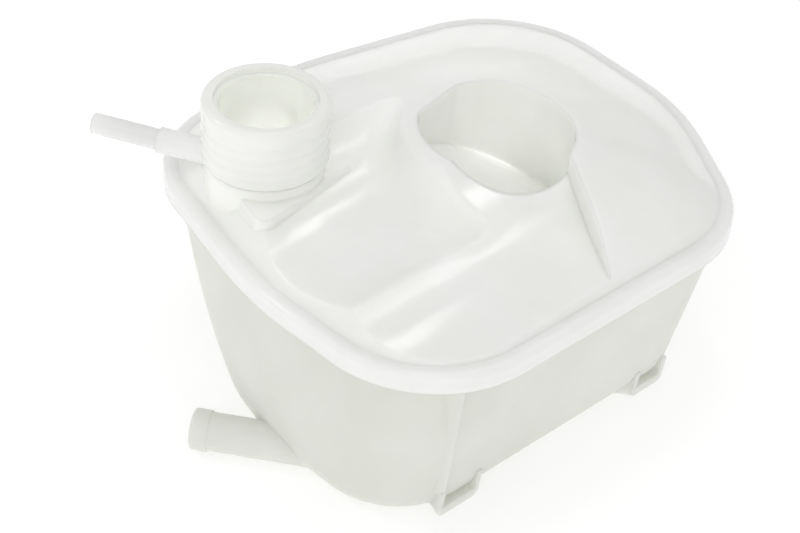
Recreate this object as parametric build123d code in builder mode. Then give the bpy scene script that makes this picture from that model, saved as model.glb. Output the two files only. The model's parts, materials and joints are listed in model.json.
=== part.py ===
"""Coolant expansion tank of a car: two moulded shells welded at the rim.

Millimetres, +Z up. The flat side of the tank faces -Y and the filler neck stands at the left rear.
The forms are built round a working origin on the rim plane and moved once at the end, so that the
finished tank stands on z = 0 with the middle of its outer box on the Z axis.
"""
import os
from math import cos, radians, sin, tan

from build123d import *

os.makedirs("parts", exist_ok=True)

# rim outline: corner points and corner radii, anticlockwise from the front left
rim_corners = [(-55, -73.5), (119, -73.5), (160, -1), (164.5, 101), (45, 124.5), (-36.5, 118), (-58.5, 18)]
rim_radii = [50, 52, 100, 56, 160, 52, 150]
corner_least = 17.0

# reach of the forms that only cut, larger than the tank
cutter = 400.0

# walls and rim
wall = 3.0
ledge_width = 6.0
skirt_height = 8.0
skirt_depth = 4.0
skirt_thickness = 3.4
skirt_gap = 0.6
skirt_round = 3.0

# crown: height over the ledge, then how far each side has moved in (left, right, front, back)
crown_levels = [
    (0.0, 0, 0, 0, 0),
    (6.0, 4, 12, 4, 11),
    (12.0, 11, 25, 11, 24),
    (18.0, 28, 41, 25, 40),
    (23.0, 58, 62, 49, 60),
    (25.5, 97, 80, 66, 90),
]

# well in the crown
well_centre = (60, 12)
well_radius = 31.0
well_floor = 8.0
well_tilt = 30.0
well_turn = 0.0
well_flat_turn = 101.5
well_flat = 28.2

# scoops
front_scoop_radius = 130.0
front_scoop_y = -67.0
front_scoop_low = 10.2
front_scoop_rise = 2.0
step_near = (45, -66)
step_far = (66, -26)
left_scoop_radius = 83.0
left_scoop_y = 4.5
left_scoop_low = 14.0
left_scoop_fall = 2.0
left_scoop_round = 9.0
collar_top = 36.0
collar_radius = 36.0
collar_slope = 30.0
crest_round = 5.0

# filler neck and its raised seat
neck_centre = (-18, 59)
seat_corners = [(-42.8, 31.0), (10.0, 37.4), (8.0, 84.5), (-30.0, 84.5)]
seat_radii = [4.0, 6.0, 6.0, 6.0]
seat_top = 21.5
seat_draft = 6.0
neck_outer_radius = 23.2
neck_bore_radius = 18.3
neck_base = 10.0
neck_top = 53.5
lip_radius = 24.8
lip_height = 6.0
lip_round = 2.4
mouth_radius = 20.2
mouth_depth = 2.5

# overflow spigot
overflow_turn = 118.0
overflow_level = 21.2
overflow_outer_radius = 4.2
overflow_bore_radius = 2.2
overflow_reach = 72.0
overflow_boss_radius = 5.2
overflow_boss_reach = 44.0

# lower shell: weld flange inside the skirt, then a drafted bowl with a rounded bottom edge
# (insets, drafts: left, right, front, back; the left end is curved: share of the depth, then its move in)
flange_height = 3.5
bowl_depth = 84.0
bowl_round = 15.0
bowl_insets = [5.0, 6.6, 4.5, 9.0]
bowl_draft_angles = [0.0, 5.0, 14.7, 17.0]
bowl_end_levels = [(0.0, 0.0), (0.5, 1.1), (0.79, 4.4), (1.0, 8.5)]
bowl_mouth_radii = [45, 36, 92, 48, 150, 45, 144]
bowl_floor_radii = [36, 30, 80, 50, 120, 66, 30]

# feet under the flat side, each a wedge with a scooped shelf, and the guide rib on the corner
foot_near_x = -9.3
foot_near_width = 21.6
foot_far_x = 99.0
foot_far_width = 18.0
foot_height = 14.0
foot_depth = 14.0
foot_rise = 27.0
foot_lean = 7.0
foot_proud = 2.8
foot_cheek = 2.2
foot_shelf = 4.6
foot_round = 3.0
foot_far_flare = 8.0
foot_flare_lean = 20.0
rib_top = (-30.5, -62.5, -1.0)
rib_foot = (-20.9, -48.0, -70.0)
rib_width = 8.0
rib_proud = 1.0

# outlet spigot
outlet_foot = (-43.0, 10.0)
outlet_turn = 127.0
outlet_level = -74.5
outlet_outer_radius = 7.8
outlet_bore_radius = 5.6
outlet_bead_radius = 8.4
outlet_bead_length = 7.0
outlet_bead_round = 1.0
outlet_reach = 40.0
outlet_root = 16.0


def tangent_outline(corners, radii):
    """Straight sides joined by tangent arcs, drawn in the line builder that is open."""
    points = [Vector(x, y) for x, y in corners]
    arcs = []
    for i, point in enumerate(points):
        back = (points[i - 1] - point).normalized()
        ahead = (points[(i + 1) % len(points)] - point).normalized()
        half = radians(back.get_angle(ahead)) / 2
        middle = (back + ahead).normalized()
        run = radii[i] / tan(half)
        centre = point + middle * (radii[i] / sin(half))
        arcs.append((point + back * run, centre - middle * radii[i], point + ahead * run))
    for i, arc in enumerate(arcs):
        ThreePointArc(*arc)
        Line(arc[2], arcs[(i + 1) % len(arcs)][0])


def drawn_in(outline, steps):
    """Corners of an outline with each side, from corner to next corner, moved in by its own step."""
    points = [Vector(x, y) for x, y in outline]
    count = len(points)
    corners = []
    for i in range(count):
        here = (points[(i + 1) % count] - points[i]).normalized()
        before = (points[i] - points[i - 1]).normalized()
        a = points[i - 1] + Vector(-before.Y, before.X) * steps[i - 1]
        b = points[i] + Vector(-here.Y, here.X) * steps[i]
        cross = before.X * here.Y - before.Y * here.X
        t = ((b.X - a.X) * here.Y - (b.Y - a.Y) * here.X) / cross
        corners.append((a.X + before.X * t, a.Y + before.Y * t))
    return corners


def moved_in(left, right, front, back):
    """Corners and radii of the rim outline with each side moved in by its own distance."""
    steps = [front, right, right, back, back, left, left]
    radii = [max(r - (steps[i - 1] + steps[i]) / 2, corner_least) for i, r in enumerate(rim_radii)]
    return drawn_in(rim_corners, steps), radii


def rim_face(z, steps, radii=None):
    """Face of the rim outline at height z, its left, right, front and back sides moved in by steps."""
    corners, plain_radii = moved_in(*steps)
    radii = radii or plain_radii
    with BuildSketch(Plane.XY.offset(z)) as face:
        with BuildLine():
            tangent_outline(corners, radii)
        make_face()
    return face.sketch


def crown_face(z, left, right, front, back):
    """Face of the ledge's inner outline at height z, drawn together by the four distances."""
    corners, radii = moved_in(ledge_width, ledge_width, ledge_width, ledge_width)
    xs = [x for x, y in corners]
    ys = [y for x, y in corners]
    scale_x = 1 - (left + right) / (max(xs) - min(xs))
    scale_y = 1 - (front + back) / (max(ys) - min(ys))
    drawn = []
    for x, y in corners:
        drawn.append((min(xs) + left + (x - min(xs)) * scale_x, min(ys) + front + (y - min(ys)) * scale_y))
    with BuildSketch(Plane.XY.offset(z)) as face:
        with BuildLine():
            tangent_outline(drawn, [r * min(scale_x, scale_y) for r in radii])
        make_face()
    return face.sketch


def well_form(t):
    """The well's hollow, grown by the wall thickness t: a round with one flat and a sloping floor."""
    with BuildPart() as well:
        with BuildSketch(Plane.XY.offset(-cutter / 2)):
            with Locations(well_centre):
                Circle(well_radius + t)
            with Locations(Location((*well_centre, 0), (0, 0, well_flat_turn))):
                with Locations((well_flat + t, 0)):
                    Rectangle(cutter, cutter, align=(Align.MIN, Align.CENTER), mode=Mode.SUBTRACT)
        extrude(amount=cutter)
        lean = radians(well_tilt)
        turn = radians(well_turn)
        floor = Plane(
            origin=(*well_centre, well_floor - t / cos(lean)),
            z_dir=(sin(lean) * cos(turn), sin(lean) * sin(turn), cos(lean)),
        )
        split(bisect_by=floor, keep=Keep.TOP)
    return well.part


def crown_form(t):
    """The crown with its scoops and the neck's seat as a solid, drawn in by the wall thickness t."""
    levels = [crown_face(skirt_height - t, t, t, t, t)]
    for rise, *steps in crown_levels[1:]:
        levels.append(crown_face(skirt_height + rise - t, *[s + 0.6 * t for s in steps]))

    with BuildPart() as front_scoop:
        run = Vector(*step_far) - Vector(*step_near)
        side = Vector(run.Y, -run.X).normalized() * t
        near = Vector(*step_near) + side - run * 2
        far = Vector(*step_far) + side + run * 1.5
        with BuildSketch():
            with BuildLine():
                Polyline((-cutter, near.Y), (near.X, near.Y), (far.X, far.Y), (-cutter, far.Y), close=True)
            make_face()
        extrude(amount=cutter)
        height = front_scoop_low + front_scoop_radius
        with Locations(Location((0, front_scoop_y, height), (0, 90 - front_scoop_rise, 0))):
            Cylinder(front_scoop_radius + t, 2 * cutter, mode=Mode.INTERSECT)

    with BuildPart() as left_scoop:
        height = left_scoop_low + left_scoop_radius
        with Locations(Location((0, left_scoop_y, height), (0, -90 - left_scoop_fall, 0))):
            Cylinder(left_scoop_radius + t, cutter)
        with Locations((*well_centre, 0)):
            spread = tan(radians(collar_slope))
            least = collar_radius - t / cos(radians(collar_slope))
            Cone(
                least + collar_top * spread,
                least,
                collar_top,
                align=(Align.CENTER, Align.CENTER, Align.MIN),
                mode=Mode.SUBTRACT,
            )
            Cylinder(least, cutter, align=(Align.CENTER, Align.CENTER, Align.MIN), mode=Mode.SUBTRACT)
        with Locations((well_centre[0], 0, 0)):
            Box(cutter, cutter, cutter, align=(Align.MIN, Align.CENTER, Align.CENTER), mode=Mode.SUBTRACT)
        flank = left_scoop.faces().filter_by(GeomType.CONE)[0]
        fillet(flank.edges().sort_by(SortBy.LENGTH)[-1], left_scoop_round)

    with BuildPart() as seat:
        with BuildSketch(Plane.XY.offset(seat_top - t)):
            with BuildLine():
                tangent_outline(drawn_in(seat_corners, [t] * 4), [max(r - t, 2.0) for r in seat_radii])
            make_face()
        extrude(amount=skirt_depth - (seat_top - t), taper=-seat_draft)
        with BuildSketch(Plane.XY.offset(skirt_depth)):
            add(crown_face(0, t + 0.5, t + 0.5, t + 0.5, t + 0.5))
        extrude(amount=cutter, mode=Mode.INTERSECT)

    with BuildPart() as form:
        with BuildSketch(Plane.XY.offset(skirt_depth)):
            add(crown_face(0, t, t, t, t))
        extrude(amount=skirt_height - skirt_depth - t)
        loft(levels)
        add(front_scoop.part, mode=Mode.SUBTRACT)
        add(left_scoop.part, mode=Mode.SUBTRACT)
        if t == 0:
            straight = form.edges().filter_by(GeomType.LINE)
            fillet([e for e in straight if e.center().Z > skirt_height + 2], crest_round)
        add(seat.part)
    return form.part


outer_crown = crown_form(0)
inner_crown = crown_form(wall)
well_hollow = well_form(0)

with BuildPart() as cup:
    add(outer_crown)
    with BuildSketch(Plane.XY.offset(skirt_depth)):
        add(crown_face(0, wall, wall, wall, wall))
    extrude(amount=-cutter)
    add(well_form(wall), mode=Mode.INTERSECT)

with BuildPart() as upper:
    # ledge with the skirt that hangs over the lower shell
    with BuildSketch():
        add(rim_face(0, [0, 0, 0, 0]))
    extrude(amount=skirt_height)
    fillet(upper.faces().sort_by(Axis.Z)[-1].edges(), skirt_round)
    with BuildSketch():
        add(rim_face(0, [skirt_thickness] * 4))
    extrude(amount=skirt_depth, mode=Mode.SUBTRACT)
    with BuildSketch(Plane.XY.offset(skirt_depth)):
        add(crown_face(0, wall, wall, wall, wall))
    extrude(amount=skirt_height, mode=Mode.SUBTRACT)

    # crown
    add(outer_crown)

    # neck with its lip
    with BuildSketch(Plane.XY.offset(neck_base)):
        with Locations(neck_centre):
            Circle(neck_outer_radius)
    extrude(amount=neck_top - neck_base)
    with BuildSketch(Plane.XY.offset(neck_top)):
        with Locations(neck_centre):
            Circle(lip_radius)
    extrude(amount=-lip_height)
    fillet(upper.faces().sort_by(Axis.Z)[-1].edges(), lip_round)

    # overflow spigot, square to the neck's axis
    way = Location((*neck_centre, overflow_level), (0, 0, overflow_turn))
    with Locations(way * Location((0, 0, 0), (0, 90, 0))):
        Cylinder(overflow_outer_radius, overflow_reach, align=(Align.CENTER, Align.CENTER, Align.MIN))
        Cylinder(overflow_boss_radius, overflow_boss_reach, align=(Align.CENTER, Align.CENTER, Align.MIN))

    # hollow of the crown, then the well's cup inside it
    add(inner_crown, mode=Mode.SUBTRACT)
    add(cup.part)
    add(well_hollow, mode=Mode.SUBTRACT)

    # bores
    with BuildSketch(Plane.XY.offset(neck_base + wall)):
        with Locations(neck_centre):
            Circle(neck_bore_radius)
    extrude(amount=neck_top, mode=Mode.SUBTRACT)
    with BuildSketch(Plane.XY.offset(neck_top)):
        with Locations(neck_centre):
            Circle(mouth_radius)
    extrude(amount=-mouth_depth, mode=Mode.SUBTRACT)
    with Locations(way * Location((0, 0, 0), (0, 90, 0))):
        Cylinder(
            overflow_bore_radius,
            overflow_reach + 1,
            align=(Align.CENTER, Align.CENTER, Align.MIN),
            mode=Mode.SUBTRACT,
        )

bowl_top = skirt_depth - flange_height
foot_level = bowl_top - bowl_depth
flange_inset = skirt_thickness + skirt_gap


def bowl_face(share, end_step, t):
    """Face of the bowl at a share of its depth, its left end drawn in by end_step, all drawn in by t."""
    depth = share * bowl_depth
    steps = [inset + depth * tan(radians(a)) + t for inset, a in zip(bowl_insets, bowl_draft_angles)]
    steps[0] += end_step
    radii = [m + (f - m) * share - t for m, f in zip(bowl_mouth_radii, bowl_floor_radii)]
    return rim_face(bowl_top - depth + t * share, steps, radii)


def bowl_form(t):
    """The bowl of the lower shell as a solid, drawn in by the wall thickness t."""
    with BuildPart() as form:
        loft([bowl_face(share, end_step, t) for share, end_step in bowl_end_levels])
        fillet(form.faces().sort_by(Axis.Z)[0].edges(), bowl_round - t)
    return form.part


def foot_form(middle, width, flare=0):
    """One foot of the flat side: a wedge that fills the bowl's lower edge, with a shelf cut in its front.

    A flare is the run of a web that ties the foot's left cheek to the bowl.
    """
    slope = bowl_depth * tan(radians(bowl_draft_angles[2]))
    front = rim_corners[0][1] + bowl_insets[2] + slope - foot_proud
    top = foot_level + foot_height
    with BuildPart() as foot:
        with BuildSketch(Plane.YZ.offset(middle - width / 2)):
            with BuildLine():
                Polyline(
                    (front - foot_height * tan(radians(foot_lean)), top),
                    (front, foot_level),
                    (front + foot_depth, foot_level + foot_depth * tan(radians(foot_rise))),
                    (front + foot_depth, top),
                    close=True,
                )
            make_face()
        extrude(amount=width)
        under = foot.faces().sort_by(Axis.Z)[0].edges()
        fillet([e for e in under if abs(e.center().X - middle) > width / 2 - 0.01], foot_round)
        with Locations((middle, front, foot_level + foot_shelf)):
            Box(
                width - 2 * foot_cheek,
                4 * foot_depth,
                foot_height,
                align=(Align.CENTER, Align.CENTER, Align.MIN),
                mode=Mode.SUBTRACT,
            )
        if flare:
            lean = Location((middle - width / 2, front, foot_level + foot_round / 2), (0, foot_flare_lean, 0))
            with BuildSketch(Plane(lean)):
                with BuildLine():
                    Polyline((0, 0), (-flare, flare / 2), (0, foot_depth), close=True)
                make_face()
            extrude(amount=foot_height - foot_round)
    return foot.part


with BuildPart() as lower:
    # feet
    add(foot_form(foot_near_x, foot_near_width))
    add(foot_form(foot_far_x, foot_far_width, foot_far_flare))

    # bowl and weld flange
    add(bowl_form(0))
    with BuildSketch(Plane.XY.offset(bowl_top)):
        add(rim_face(0, [flange_inset] * 4))
    extrude(amount=flange_height)

    # guide rib
    rib_run = Vector(*rib_foot) - Vector(*rib_top)
    rib_side = Vector(1, -1, 0).normalized()
    rib_plane = Plane(origin=rib_top, x_dir=rib_side, z_dir=rib_run)
    with BuildSketch(rib_plane):
        with Locations((0, rib_proud)):
            Rectangle(rib_width, wall + rib_proud, align=(Align.CENTER, Align.MAX))
    extrude(amount=rib_run.length)

    # outlet spigot with the bead at its end
    outlet_way = Location((*outlet_foot, outlet_level), (0, 0, outlet_turn)) * Location((0, 0, 0), (0, 90, 0))
    along = (Align.CENTER, Align.CENTER, Align.MIN)
    with Locations(outlet_way * Location((0, 0, -outlet_root))):
        Cylinder(outlet_outer_radius, outlet_root + outlet_reach, align=along)
    with Locations(outlet_way * Location((0, 0, outlet_reach - outlet_bead_length))):
        Cylinder(outlet_bead_radius, outlet_bead_length, align=along)
    rings = lower.edges().filter_by(GeomType.CIRCLE)
    ends = [e for e in rings if abs(e.radius - outlet_bead_radius) < 0.01]
    fillet(ShapeList(ends).sort_by_distance((*outlet_foot, outlet_level))[-1], outlet_bead_round)

    # hollow of the bowl, mouth of the flange and bore of the spigot
    add(bowl_form(wall), mode=Mode.SUBTRACT)
    with BuildSketch(Plane.XY.offset(bowl_top)):
        add(rim_face(0, [step + wall for step in bowl_insets], [r - wall for r in bowl_mouth_radii]))
    extrude(amount=flange_height, mode=Mode.SUBTRACT)
    with Locations(outlet_way * Location((0, 0, -outlet_root))):
        Cylinder(outlet_bore_radius, outlet_root + outlet_reach + 1, align=along, mode=Mode.SUBTRACT)

# stand the tank on z = 0 with the middle of its outer box on the Z axis
box = upper.part.bounding_box().add(lower.part.bounding_box())
stand = Location((-box.center().X, -box.center().Y, -box.min.Z))

with BuildPart() as upper_shell:
    add(upper.part.moved(stand))
upper_shell.part.label = "upper_shell"
export_step(upper_shell.part, "parts/upper_shell.step")

with BuildPart() as lower_shell:
    add(lower.part.moved(stand))
lower_shell.part.label = "lower_shell"
export_step(lower_shell.part, "parts/lower_shell.step")
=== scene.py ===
"""Coolant expansion tank of a car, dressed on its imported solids: two milky shells and the neck's thread."""
import json
import math

import bmesh
import bpy
from mathutils import Matrix, Vector


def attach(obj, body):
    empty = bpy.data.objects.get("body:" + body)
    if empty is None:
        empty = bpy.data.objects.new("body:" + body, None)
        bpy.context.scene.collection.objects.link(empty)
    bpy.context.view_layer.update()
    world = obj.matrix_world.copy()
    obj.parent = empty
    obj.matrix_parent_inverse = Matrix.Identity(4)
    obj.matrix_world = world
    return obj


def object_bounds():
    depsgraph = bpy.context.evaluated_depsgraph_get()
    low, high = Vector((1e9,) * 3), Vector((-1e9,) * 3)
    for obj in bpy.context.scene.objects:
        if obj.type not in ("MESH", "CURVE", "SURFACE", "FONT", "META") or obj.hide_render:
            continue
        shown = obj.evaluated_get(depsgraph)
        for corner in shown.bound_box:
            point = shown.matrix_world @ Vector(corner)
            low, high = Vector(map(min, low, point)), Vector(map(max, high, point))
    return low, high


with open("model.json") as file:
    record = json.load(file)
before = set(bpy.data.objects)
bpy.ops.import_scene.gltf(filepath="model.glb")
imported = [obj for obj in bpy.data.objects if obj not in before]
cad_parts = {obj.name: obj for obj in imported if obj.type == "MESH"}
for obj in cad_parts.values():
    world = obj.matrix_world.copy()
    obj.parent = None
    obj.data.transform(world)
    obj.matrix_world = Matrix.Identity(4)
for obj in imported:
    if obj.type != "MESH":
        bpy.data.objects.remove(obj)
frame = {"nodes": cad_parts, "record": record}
cad_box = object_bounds()

# Upper shell: the crown of the tank, moulded in one piece with its scoops, well, filler neck and overflow
# spigot. It is natural polypropylene, injected against a polished steel cavity, so it is milky and glossy.
# Its skirt hangs over the lower shell, and the two are hot-plate welded behind it.


def linear(hex_colour):
    """An sRGB hex value as linear red, green, blue and alpha."""
    channels = [int(hex_colour[i:i + 2], 16) / 255 for i in (1, 3, 5)]
    return [c / 12.92 if c <= 0.04045 else ((c + 0.055) / 1.055) ** 2.4 for c in channels] + [1.0]


def emptied(owner):
    """Turns on the nodes of a material or a world and returns its tree, with nothing in it yet."""
    owner.use_nodes = True
    owner.node_tree.nodes.clear()
    return owner.node_tree


def put(tree, kind, inputs=None, **settings):
    """Adds one node, with its settings, its constant inputs and its links."""
    node = tree.nodes.new(kind)
    for name, value in settings.items():
        setattr(node, name, value)
    for name, value in (inputs or {}).items():
        if isinstance(value, bpy.types.NodeSocket):
            tree.links.new(value, node.inputs[name])
        else:
            node.inputs[name].default_value = value
    return node


def melt_clouds(tree, place, dark, pale):
    """Faint clouds where the melt met: how dense they are, and a tint that runs from dark to pale."""
    cloud_mm = 34
    dense = put(tree, "ShaderNodeTexNoise", {
        "Vector": place, "Scale": 1000 / cloud_mm, "Detail": 3.0, "Roughness": 0.5,
    }).outputs["Fac"]
    tint = put(tree, "ShaderNodeValToRGB", {"Fac": dense})
    for stop, position, colour in zip(tint.color_ramp.elements, (0.35, 0.68), (dark, pale)):
        stop.position = position
        stop.color = linear(colour)
    return dense, tint.outputs["Color"]


upper = frame["nodes"]["upper_shell"]
# Natural polypropylene off polished steel: light goes a few millimetres in and comes out again, so hollows
# stay bright. The skin mirrors a lamp sharply but waves a little where the wall shrank, its moulded edges
# are slightly round, and faint clouds show where the melt met.
gloss_pp = bpy.data.materials.new("natural_polypropylene_polished")
tree = emptied(gloss_pp)
place = put(tree, "ShaderNodeTexCoord").outputs["Object"]
_, tint = melt_clouds(tree, place, "#F3F4F0", "#F9FAF6")
sheen_mm = 9
patches = put(tree, "ShaderNodeTexNoise", {"Vector": place, "Scale": 1000 / sheen_mm, "Detail": 2.0})
gloss = put(tree, "ShaderNodeMapRange", {"Value": patches.outputs["Fac"], "To Min": 0.08, "To Max": 0.12})
# The lip is already round in the solid, so the softened edges end just below it. The thread keeps the light
# off the barrel, so the scattering in the wall fades out on the way up to the lip.
edge_mm = 2.0
lip_mm = 6.0
lip_foot = cad_box[1][2] - lip_mm / 1000
height = put(tree, "ShaderNodeSeparateXYZ", {"Vector": place}).outputs["Z"]
soften = put(tree, "ShaderNodeMapRange", {
    "Value": height,
    "From Min": lip_foot - 0.0015, "From Max": lip_foot - 0.0005,
    "To Min": edge_mm / 1000, "To Max": 0.0,
})
edges = put(tree, "ShaderNodeBevel", {"Radius": soften.outputs["Result"]}, samples=6)
milky = put(tree, "ShaderNodeMapRange", {
    "Value": height,
    "From Min": lip_foot - 0.0105, "From Max": lip_foot - 0.0025,
    "To Min": 0.8, "To Max": 0.0,
})
wave_mm = 20
waves = put(tree, "ShaderNodeTexNoise", {"Vector": place, "Scale": 1000 / wave_mm, "Detail": 1.0})
sunk = put(tree, "ShaderNodeBump", {
    "Height": waves.outputs["Fac"], "Strength": 1.0, "Distance": 0.00025,
    "Normal": edges.outputs["Normal"],
})
peel_mm = 2.4
peel = put(tree, "ShaderNodeTexNoise", {"Vector": place, "Scale": 1000 / peel_mm, "Detail": 1.0})
skin = put(tree, "ShaderNodeBump", {
    "Height": peel.outputs["Fac"], "Strength": 0.12, "Distance": 0.00006,
    "Normal": sunk.outputs["Normal"],
})
shader = put(tree, "ShaderNodeBsdfPrincipled", {
    "Base Color": tint,
    "Roughness": gloss.outputs["Result"],
    "Normal": skin.outputs["Normal"],
    "IOR": 1.49,
    "Subsurface Weight": milky.outputs["Result"],
    "Subsurface Radius": (1.0, 1.0, 0.97),
    "Subsurface Scale": 0.006,
})
put(tree, "ShaderNodeOutputMaterial", {"Surface": shader.outputs["BSDF"]})
upper.data.materials.clear()
upper.data.materials.append(gloss_pp)

# Neck thread: the ridge that the cap screws on, moulded with the neck in the same polypropylene.
# It winds up the barrel with shallow rounded roots, rises out of it at the foot and ends inside the lip.


def into_scene(name, bm):
    """Makes a finished bmesh an object of the scene."""
    mesh = bpy.data.meshes.new(name)
    bm.to_mesh(mesh)
    bm.free()
    made = bpy.data.objects.new(name, mesh)
    bpy.context.scene.collection.objects.link(made)
    return made


mounts = {mount["name"]: mount for mount in frame["record"]["mounts"]}
mouth = mounts["filler_bore"]["pos_m"]
inside = 0.0226
root = 0.0241
crest = 0.0247
pitch = 0.0047
turns = 5.4
thread_low = 0.1085
thread_steps = 72
# Half of the ridge's section, as radius and height from its middle. It is a hair more than half a pitch
# high in the wall, so that each turn closes against the next.
half = [
    (inside, 0.00236),
    (root, 0.00236),
    (root + 0.0001, 0.0018),
    (crest - 0.0002, 0.0010),
    (crest, 0.0003),
]
bm = bmesh.new()
ring = [bm.verts.new((r, 0, thread_low - z)) for r, z in half]
ring += [bm.verts.new((r, 0, thread_low + z)) for r, z in reversed(half)]
section = bm.faces.new(ring)
outline = list(section.edges)
bmesh.ops.delete(bm, geom=[section], context="FACES_ONLY")
bmesh.ops.spin(
    bm, geom=ring + outline, cent=(0, 0, 0), axis=(0, 0, 1), dvec=(0, 0, pitch / thread_steps),
    angle=math.tau * turns, steps=round(turns * thread_steps), use_merge=False,
)
bmesh.ops.remove_doubles(bm, verts=bm.verts, dist=1e-6)
bmesh.ops.holes_fill(bm, edges=[e for e in bm.edges if e.is_boundary], sides=0)
# The ridge sinks into the wall at both ends: slowly at the foot, and at once where the lip hides it.
foot_turns = 0.9
top_turns = 0.12
blunt_start = 0.1
for v in bm.verts:
    out = math.hypot(v.co.x, v.co.y)
    turn = (v.co.z - thread_low) / pitch
    nearest_end = min(turn / foot_turns, (turns - turn) / top_turns)
    run_out = min(1.0, max(0.0, nearest_end + blunt_start))
    share = run_out * run_out * (3 - 2 * run_out)
    reach = inside + (out - inside) * share
    v.co.x *= reach / out
    v.co.y *= reach / out
bmesh.ops.recalc_face_normals(bm, faces=bm.faces)
bmesh.ops.translate(bm, verts=bm.verts, vec=(mouth[0], mouth[1], 0))
thread = into_scene("neck_thread", bm)
thread.data.shade_smooth()
thread.data.set_sharp_from_angle(angle=math.radians(50))
# The shell's polypropylene with the light kept at the surface, because the ridge is too thin to scatter it.
ridge_pp = gloss_pp.copy()
ridge_pp.name = "natural_polypropylene_thread"
scatter = ridge_pp.node_tree.nodes["Principled BSDF"].inputs["Subsurface Weight"]
ridge_pp.node_tree.nodes.remove(scatter.links[0].from_node)
scatter.default_value = 0.0
thread.data.materials.append(ridge_pp)
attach(thread, "root")

# Lower shell: the tub that holds the coolant, moulded in one piece with the outlet spigot, the guide rib
# and the two feet. It is the same polypropylene off an eroded cavity, as milky as the crown but duller.
lower = frame["nodes"]["lower_shell"]
# Natural polypropylene off eroded steel: the fine grain scatters every lamp, so the wall looks even. Its tint
# is painted darker than the crown's, though it is the same polypropylene: painted shade for the tub's sides.
shaded_satin_pp = bpy.data.materials.new("natural_polypropylene_satin_painted_shade")
tree = emptied(shaded_satin_pp)
place = put(tree, "ShaderNodeTexCoord").outputs["Object"]
clouds, tint = melt_clouds(tree, place, "#D5D6CF", "#DBDCD6")
dull = put(tree, "ShaderNodeMapRange", {"Value": clouds, "To Min": 0.36, "To Max": 0.46})
# The eroded grain is a tenth of a millimetre on the real wall and is drawn at 0.9 mm so that it shows.
grain_mm = 0.9
grain = put(tree, "ShaderNodeTexNoise", {"Vector": place, "Scale": 1000 / grain_mm, "Detail": 2.0})
skin = put(tree, "ShaderNodeBump", {
    "Height": grain.outputs["Fac"], "Strength": 0.2, "Distance": 0.00005,
})
shader = put(tree, "ShaderNodeBsdfPrincipled", {
    "Base Color": tint,
    "Roughness": dull.outputs["Result"],
    "Normal": skin.outputs["Normal"],
    "IOR": 1.49,
    "Subsurface Weight": 0.8,
    "Subsurface Radius": (1.0, 1.0, 0.97),
    "Subsurface Scale": 0.011,
})
put(tree, "ShaderNodeOutputMaterial", {"Surface": shader.outputs["BSDF"]})
lower.data.materials.clear()
lower.data.materials.append(shaded_satin_pp)

# Floor: a plain white table that is lit from below, as for cut-out pictures.
# The tank stands loose on it, and its shade there stays faint.
bm = bmesh.new()
bmesh.ops.create_grid(bm, x_segments=1, y_segments=1, size=6.0)
floor = into_scene("floor", bm)
# Opal acrylic sheet: even white light comes up through it, and its sanded top has no gloss.
opal = bpy.data.materials.new("opal_acrylic_sanded")
tree = emptied(opal)
shader = put(tree, "ShaderNodeBsdfPrincipled", {
    "Base Color": linear("#D8D8D8"),
    "Roughness": 0.9,
    "Emission Color": linear("#FFFFFF"),
    "Emission Strength": 0.45,
})
put(tree, "ShaderNodeOutputMaterial", {"Surface": shader.outputs["BSDF"]})
floor.data.materials.append(opal)

# Light: a white tent that is brightest overhead, and a wide fill behind the camera. Small softboxes high
# beyond the tank, overhead and at its rear left draw the highlights on the scoops, the well and the rim.
# Weak lamps in the hollows stand in for the light that comes in through the thin milky walls.
world = bpy.data.worlds.new("white_tent")
bpy.context.scene.world = world
tree = emptied(world)
around = put(tree, "ShaderNodeTexCoord").outputs["Generated"]
heading = put(tree, "ShaderNodeSeparateXYZ", {"Vector": around})
upward = put(tree, "ShaderNodeMath", {0: heading.outputs["Z"], 1: 0.0}, operation="MAXIMUM")
overhead = put(tree, "ShaderNodeMath", {0: upward.outputs[0], 1: 3.0}, operation="POWER")
side_light = 0.58
extra_overhead = 0.32
tent_light = put(tree, "ShaderNodeMath", {
    0: overhead.outputs[0], 1: extra_overhead, 2: side_light,
}, operation="MULTIPLY_ADD")
tent = put(tree, "ShaderNodeBackground", {"Color": linear("#FFFFFF"), "Strength": tent_light.outputs[0]})
put(tree, "ShaderNodeOutputWorld", {"Surface": tent.outputs["Background"]})


def softbox(name, spot, wide, tall, radiance):
    """An oblong lamp that hangs at a spot and faces the tank."""
    tank_middle = Vector((0, 0, 0.1))
    lamp = bpy.data.lights.new(name, "AREA")
    lamp.shape = "RECTANGLE"
    lamp.size = wide
    lamp.size_y = tall
    lamp.energy = radiance * math.pi * wide * tall
    stand = bpy.data.objects.new(name, lamp)
    stand.location = spot
    stand.rotation_mode = "QUATERNION"
    stand.rotation_quaternion = (Vector(spot) - tank_middle).to_track_quat("Z", "Y")
    bpy.context.scene.collection.objects.link(stand)


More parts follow.
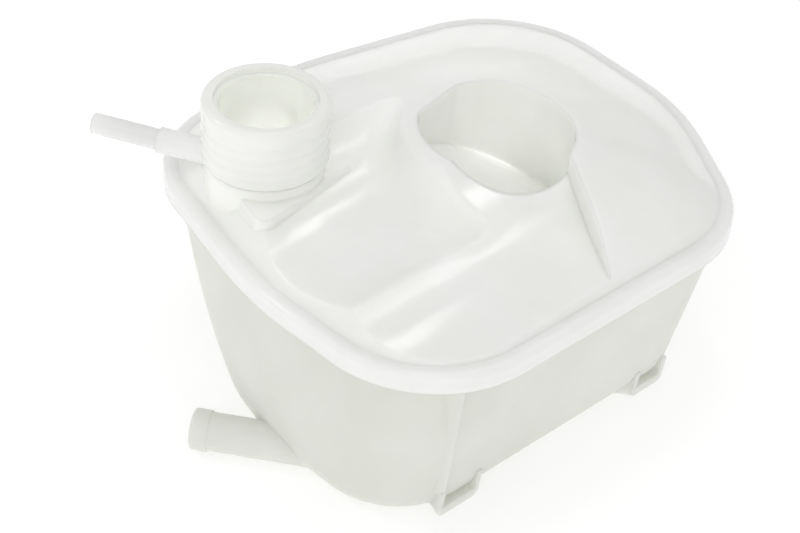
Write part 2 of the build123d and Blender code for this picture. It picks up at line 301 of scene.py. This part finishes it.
softbox("crest_softbox", (0.567, 0.026, 1.128), wide=0.05, tall=0.18, radiance=3.8)
softbox("scoop_softbox", (0.507, 0.260, 1.130), wide=0.15, tall=0.05, radiance=5.4)
softbox("well_softbox", (0.643, -0.230, 1.080), wide=0.11, tall=0.13, radiance=5.0)
softbox("rim_softbox", (0.0, 0.0, 1.3), wide=0.16, tall=0.16, radiance=5.0)
softbox("fill_softbox", (-1.00, -0.86, 0.80), wide=1.2, tall=1.2, radiance=0.85)
softbox("rear_softbox", (-0.72, 0.70, 0.80), wide=0.2, tall=0.2, radiance=8.0)


def hollow_lamp(name, spot, watts, radius):
    """A weak round lamp inside the tank, which the camera doesn't see."""
    lamp = bpy.data.lights.new(name, "POINT")
    lamp.energy = watts
    lamp.shadow_soft_size = radius
    bulb = bpy.data.objects.new(name, lamp)
    bulb.location = spot
    bulb.visible_camera = False
    bpy.context.scene.collection.objects.link(bulb)


hollow_lamp("neck_lamp", (mouth[0], mouth[1], 0.098), watts=0.0063, radius=0.01)
hollow_lamp("tub_lamp", (0.037, 0.016, 0.061), watts=0.060, radius=0.01)
outlet = mounts["outlet_spigot"]
for number, inward in enumerate((0.004, 0.016, 0.028)):
    spot = Vector(outlet["pos_m"]) - Vector(outlet["axis"]) * inward
    hollow_lamp(f"outlet_lamp_{number}", spot, watts=0.00028, radius=0.003)

# Camera: at the photograph's height and angle, with the same slight turn of the picture.
# It looks down on the corner between the flat side and the end with the filler neck.
azimuth = math.radians(-45)
elevation = math.radians(38.5)
roll = math.radians(4)
distance = 0.836
aim = Vector((-0.0445254, -0.025522, 0.0835))
back = Vector((
    math.sin(azimuth) * math.cos(elevation),
    -math.cos(azimuth) * math.cos(elevation),
    math.sin(elevation),
))
level = Vector((math.cos(azimuth), math.sin(azimuth), 0))
upright = back.cross(level)
right = level * math.cos(roll) + upright * math.sin(roll)
up = upright * math.cos(roll) - level * math.sin(roll)
lens = bpy.data.cameras.new("camera")
lens.lens = 99.0
lens.sensor_width = 36.0
camera = bpy.data.objects.new("camera", lens)
turned = Matrix((right, up, back)).transposed().to_4x4()
camera.matrix_world = Matrix.Translation(aim + back * distance) @ turned
bpy.context.scene.collection.objects.link(camera)
bpy.context.scene.camera = camera
bpy.context.scene.view_settings.view_transform = "Standard"
# Light goes round a white hollow many times before it is lost, so it is followed for longer than usual.
bpy.context.scene.cycles.max_bounces = 32
bpy.context.scene.cycles.diffuse_bounces = 24
